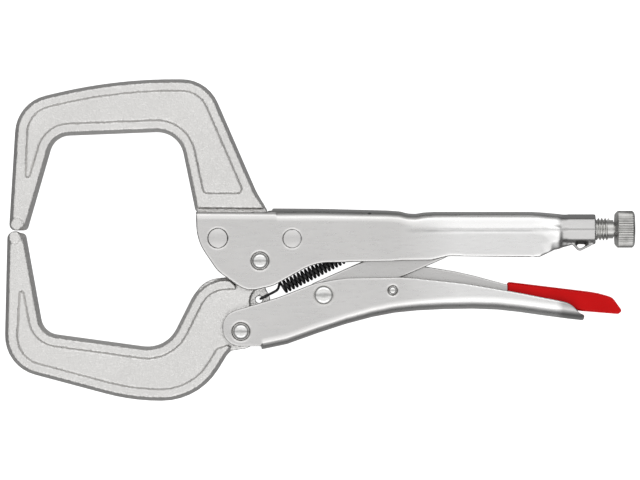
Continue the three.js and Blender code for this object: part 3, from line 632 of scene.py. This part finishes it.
def addCylinder(radius, low, high, centre, sides):  # its axis runs across the clamp
    bpy.ops.object.select_all(action="DESELECT")
    bpy.ops.mesh.primitive_cylinder_add(
        vertices=sides, radius=radius, depth=high - low, location=(centre[0], centre[1], (low + high) / 2)
    )
    bpy.ops.object.transform_apply(location=True, rotation=True, scale=True)
    return bpy.context.object


def pickParts(piece, parts, test):
    bpy.ops.object.mode_set(mode="OBJECT")
    for group in (piece.data.vertices, piece.data.edges, piece.data.polygons):
        for part in group:
            part.select = False
    for part in parts:
        part.select = test(part)
    bpy.ops.object.mode_set(mode="EDIT")


def pickFaces(piece, test):
    pickParts(piece, piece.data.polygons, test)
    bpy.ops.mesh.select_mode(type="FACE")


def domeEnds(piece, radius, rise, profile):  # steps both end faces in and out along a profile
    for end in (-1, 1):
        pickFaces(piece, lambda face: face.normal.z * end > 0.99)
        for (wide, low), (narrow, high) in zip(profile, profile[1:]):
            bpy.ops.mesh.inset(thickness=radius * (wide - narrow), depth=rise * (high - low))
        bpy.ops.object.mode_set(mode="OBJECT")


def makeHeadedRivet(node, name, body, rise, profile):
    low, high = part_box(node)
    radius = (high.x - low.x) / 2
    piece = addCylinder(radius, low.z + rise * mm, high.z - rise * mm, (low + high) / 2, rivets["sides"])
    domeEnds(piece, radius, rise * mm, rivets[profile])
    smoothByAngle(piece, rivets["headAngle"])
    finishPiece(piece, name, body, "bright_rivet", node)


def makeFlushRivet(node, name):
    low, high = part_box(node)
    radius = (high.x - low.x) / 2 + rivets["flushGrowth"] * mm
    piece = addCylinder(radius, low.z, high.z, (low + high) / 2, rivets["sides"])
    width, segments = rivets["flushBevel"] * mm, rivets["flushSegments"]
    addModifier(piece, "BEVEL", width=width, segments=segments, limit_method="ANGLE")
    smoothByAngle(piece, rivets["flushAngle"])
    finishPiece(piece, name, "clamp_frame", "nickel_sheet", node)


for node, head in headedRivets.items():
    makeHeadedRivet(node, **head)
for node, name in flushRivets.items():
    makeFlushRivet(node, name)
print("rivets made")

# tension spring: millimetres in the clamp's own plane, and hook points along, above and across its line

spring = {
    "eye": (0.21, -16.94),
    "anchor": (66.78, 16.6),
    "wire": 0.58,
    "coil": 2.55,
    "pitch": 1.78,
    "coilStart": 10.9,
    "coilStop": 8.0,
    "stepsPerTurn": 16,
    "frontHook": (  # from the jaw's eye to the first coil
        (0.0, 0.0, -2.8), (0.0, 0.0, -1.4), (0.0, 0.0, 0.0), (0.0, 0.0, 1.9),
        (0.3, 0.0, 2.7), (1.2, 0.0, 2.8), (3.0, 0.0, 2.8), (5.5, 0.0, 2.8),
        (7.4, 0.0, 2.5), (8.6, 0.2, 1.8), (9.5, 0.9, 1.2), (10.3, 1.9, 0.7),
    ),
    "coilExit": ((0.9, 1.9, 0.9), (1.8, 0.8, 1.5), (3.0, 0.0, 2.1)),  # from the last coil
    "rearHook": (  # round the handle's tab
        (-3.0, 0.0, 2.1), (-1.0, 0.0, 2.1), (1.0, 0.0, 2.1),
        (1.5, 0.0, 1.6), (1.5, 0.0, 0.0), (1.5, 0.0, -2.1),
    ),
    "sideSegments": 3,
    "angle": 50,
    "fullTravel": (6.872, 1.551),  # of the jaw's eye, as the jaw opens
}


def springRoute():
    eye, anchor = Vector(spring["eye"]), Vector(spring["anchor"])
    whole = (anchor - eye).length
    along = (anchor - eye).normalized()
    above = Vector((-along.y, along.x))

    def at(distance, up, z):
        point = eye + along * distance + above * up
        return atClamp(point.x, point.y, z)

    coilStart, coilEnd = spring["coilStart"], whole - spring["coilStop"]
    turns = round((coilEnd - coilStart) / spring["pitch"])
    steps = turns * spring["stepsPerTurn"]
    route = [at(*spot) for spot in spring["frontHook"]]
    for step in range(steps + 1):
        angle = math.pi / 2 - 2 * math.pi * step / spring["stepsPerTurn"]
        distance = coilStart + (coilEnd - coilStart) * step / steps
        route.append(at(distance, spring["coil"] * math.sin(angle), spring["coil"] * math.cos(angle)))
    for start, spots in ((coilEnd, spring["coilExit"]), (whole, spring["rearHook"])):
        route += [at(start + distance, up, z) for distance, up, z in spots]
    return route


def makeSpring():
    route = springRoute()
    bpy.ops.object.select_all(action="DESELECT")
    bpy.ops.curve.primitive_nurbs_path_add()
    curve = bpy.context.object.data
    path = curve.splines[0]
    path.points.add(len(route) - len(path.points))
    for point, spot in zip(path.points, route):
        point.co = (*spot, 1.0)
        point.radius = 1.0
    path.order_u = 3
    path.use_endpoint_u = True
    curve.resolution_u = 2
    curve.bevel_depth = spring["wire"] * mm
    curve.bevel_resolution = spring["sideSegments"]
    curve.use_fill_caps = True
    bpy.ops.object.convert(target="MESH")
    piece = bpy.context.object
    smoothByAngle(piece, spring["angle"])
    finishPiece(piece, "tension_spring_wire", "clamp_frame", "black_wire", "tension_spring")
    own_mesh(piece)


makeSpring()
print("spring made")

# adjusting screw and knob: their axis runs along X

screw = {
    "pitch": 1.5,
    "depth": 0.86,
    "crestWidth": 0.28,
    "baseWidth": 1.30,
    "baseSink": 0.2,
    "stepsPerTurn": 40,
    "coreSides": 80,
    "threadStart": 2.2,
    "threadEnd": 157.8,
    "neckRadius": 3.4,
    "stubRadius": 2.6,
    "neckLength": 0.4,
    "angle": 35,
}
knob = {
    "flutes": 44,
    "perFlute": 6,
    "fluteDepth": 0.055,
    "rings": (  # place along the knob, share of its radius, and whether it is fluted there
        (0.0, 0.84, 0), (0.25, 0.875, 0), (0.9, 0.955, 0), (1.3, 1.0, 0), (1.5, 1.0, 1),
        (7.7, 1.0, 1), (8.0, 0.985, 0), (8.5, 0.93, 0), (8.75, 0.88, 0), (8.9, 0.80, 0),
    ),
    "bore": 2.9,
    "boreDepth": 6.9,
    "dishRadius": 5.6,
    "dishWall": 0.6,
    "dishDepth": 0.35,
    "angle": 30,
}
screwAxis = pivots["knob_turn"]
alongX = (0.0, math.radians(90), 0.0)
tolerance = 0.01 * mm


def onAxis(x):
    return (x, screwAxis.y, screwAxis.z)


def pickEnd(piece, x):  # the faces that look along X at that place
    pickFaces(piece, lambda face: abs(face.center.x - x) < tolerance and abs(face.normal.x) > 0.99)


def extrudeAlong(distance):
    bpy.ops.mesh.extrude_region_move(TRANSFORM_OT_translate={"value": (distance, 0.0, 0.0)})


def makeThreadRidge(start, turns, crest):
    height = screw["depth"] + screw["baseSink"]
    bpy.ops.object.select_all(action="DESELECT")
    bpy.ops.mesh.primitive_plane_add(size=mm, location=onAxis(start))
    ridge = bpy.context.object
    bpy.ops.object.mode_set(mode="EDIT")
    bpy.ops.mesh.select_all(action="SELECT")
    bpy.ops.transform.resize(value=(screw["baseWidth"], height, 1.0))
    bpy.ops.transform.translate(value=(0.0, crest - height * mm / 2, 0.0))
    pickParts(ridge, ridge.data.vertices, lambda vertex: vertex.co.y > crest - tolerance)
    bpy.ops.transform.resize(value=(screw["crestWidth"] / screw["baseWidth"], 1.0, 1.0))
    bpy.ops.mesh.select_all(action="SELECT")
    bpy.ops.mesh.delete(type="ONLY_FACE")
    bpy.ops.object.mode_set(mode="OBJECT")
    addModifier(
        ridge, "SCREW", axis="X", angle=math.radians(360), screw_offset=screw["pitch"] * mm,
        iterations=turns, steps=screw["stepsPerTurn"], render_steps=screw["stepsPerTurn"],
        use_merge_vertices=True, merge_threshold=0.001 * mm,
    )
    select(ridge)
    bpy.ops.object.mode_set(mode="EDIT")
    bpy.ops.mesh.select_mode(type="EDGE")
    bpy.ops.mesh.select_all(action="DESELECT")
    bpy.ops.mesh.select_non_manifold()
    bpy.ops.mesh.fill_holes(sides=4)
    bpy.ops.mesh.select_all(action="SELECT")
    bpy.ops.mesh.normals_make_consistent(inside=False)
    bpy.ops.object.mode_set(mode="OBJECT")
    return ridge


def makeScrew():
    low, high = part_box("adjusting_screw")
    crest = (high.z - low.z) / 2
    root = crest - screw["depth"] * mm
    neckStart = atClamp(screw["threadEnd"], 0).x
    bpy.ops.object.select_all(action="DESELECT")
    bpy.ops.mesh.primitive_cylinder_add(
        vertices=screw["coreSides"], radius=root, depth=neckStart - low.x, rotation=alongX,
        location=onAxis((neckStart + low.x) / 2),
    )
    core = bpy.context.object
    bpy.ops.object.transform_apply(location=True, rotation=True, scale=True)
    pickEnd(core, neckStart)
    bpy.ops.mesh.inset(thickness=root - screw["neckRadius"] * mm)
    extrudeAlong(screw["neckLength"] * mm)
    bpy.ops.mesh.inset(thickness=(screw["neckRadius"] - screw["stubRadius"]) * mm)
    extrudeAlong(high.x - neckStart - screw["neckLength"] * mm)
    bpy.ops.object.mode_set(mode="OBJECT")
    start = low.x + screw["threadStart"] * mm
    turns = int((neckStart - start) / (screw["pitch"] * mm) - 0.5)  # the last half turn is left plain
    ridge = makeThreadRidge(start, turns, crest)
    addModifier(core, "BOOLEAN", operation="UNION", solver="EXACT", object=ridge)
    bpy.data.objects.remove(ridge)
    smoothByAngle(core, screw["angle"])
    finishPiece(core, "adjusting_screw_thread", "screw", "screw_steel", "adjusting_screw")


def makeKnob():
    low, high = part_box("adjusting_knob")
    radius = (high.z - low.z) / 2
    length = high.x - low.x
    sides = knob["flutes"] * knob["perFlute"]
    rings = knob["rings"]
    reach = rings[-1][0]
    bpy.ops.object.select_all(action="DESELECT")
    bpy.ops.mesh.primitive_circle_add(
        vertices=sides, radius=radius, fill_type="NGON", rotation=alongX, location=onAxis(low.x)
    )
    piece = bpy.context.object
    bpy.ops.object.transform_apply(location=True, rotation=True, scale=True)
    bpy.ops.object.mode_set(mode="EDIT")
    bpy.ops.mesh.select_all(action="SELECT")
    for (before, _, _), (after, _, _) in zip(rings, rings[1:]):
        extrudeAlong(length * (after - before) / reach)
    bpy.ops.object.mode_set(mode="OBJECT")
    for vertex in piece.data.vertices:
        spoke = vertex.co - Vector(onAxis(vertex.co.x))
        at = (vertex.co.x - low.x) / length * reach
        _, share, fluted = min(rings, key=lambda ring: abs(ring[0] - at))
        step = round(math.atan2(spoke.z, spoke.y) / (2 * math.pi) * sides) % knob["perFlute"]
        cut = knob["fluteDepth"] * (0.5 - 0.5 * math.cos(2 * math.pi * step / knob["perFlute"])) * fluted
        vertex.co = vertex.co - spoke * (1.0 - share * (1.0 - cut))
    pickEnd(piece, low.x)
    bpy.ops.mesh.inset(thickness=radius * rings[0][1] - knob["bore"] * mm)
    extrudeAlong(knob["boreDepth"] * mm)
    pickEnd(piece, high.x)
    bpy.ops.mesh.inset(thickness=radius * rings[-1][1] - knob["dishRadius"] * mm)
    bpy.ops.mesh.inset(thickness=knob["dishWall"] * mm, depth=-knob["dishDepth"] * mm)
    bpy.ops.mesh.select_all(action="SELECT")
    bpy.ops.mesh.normals_make_consistent(inside=False)
    bpy.ops.object.mode_set(mode="OBJECT")
    smoothByAngle(piece, knob["angle"])
    finishPiece(piece, "adjusting_knob_fluted", "knob", "screw_steel", "adjusting_knob")


makeScrew()
makeKnob()
print("screw and knob made")
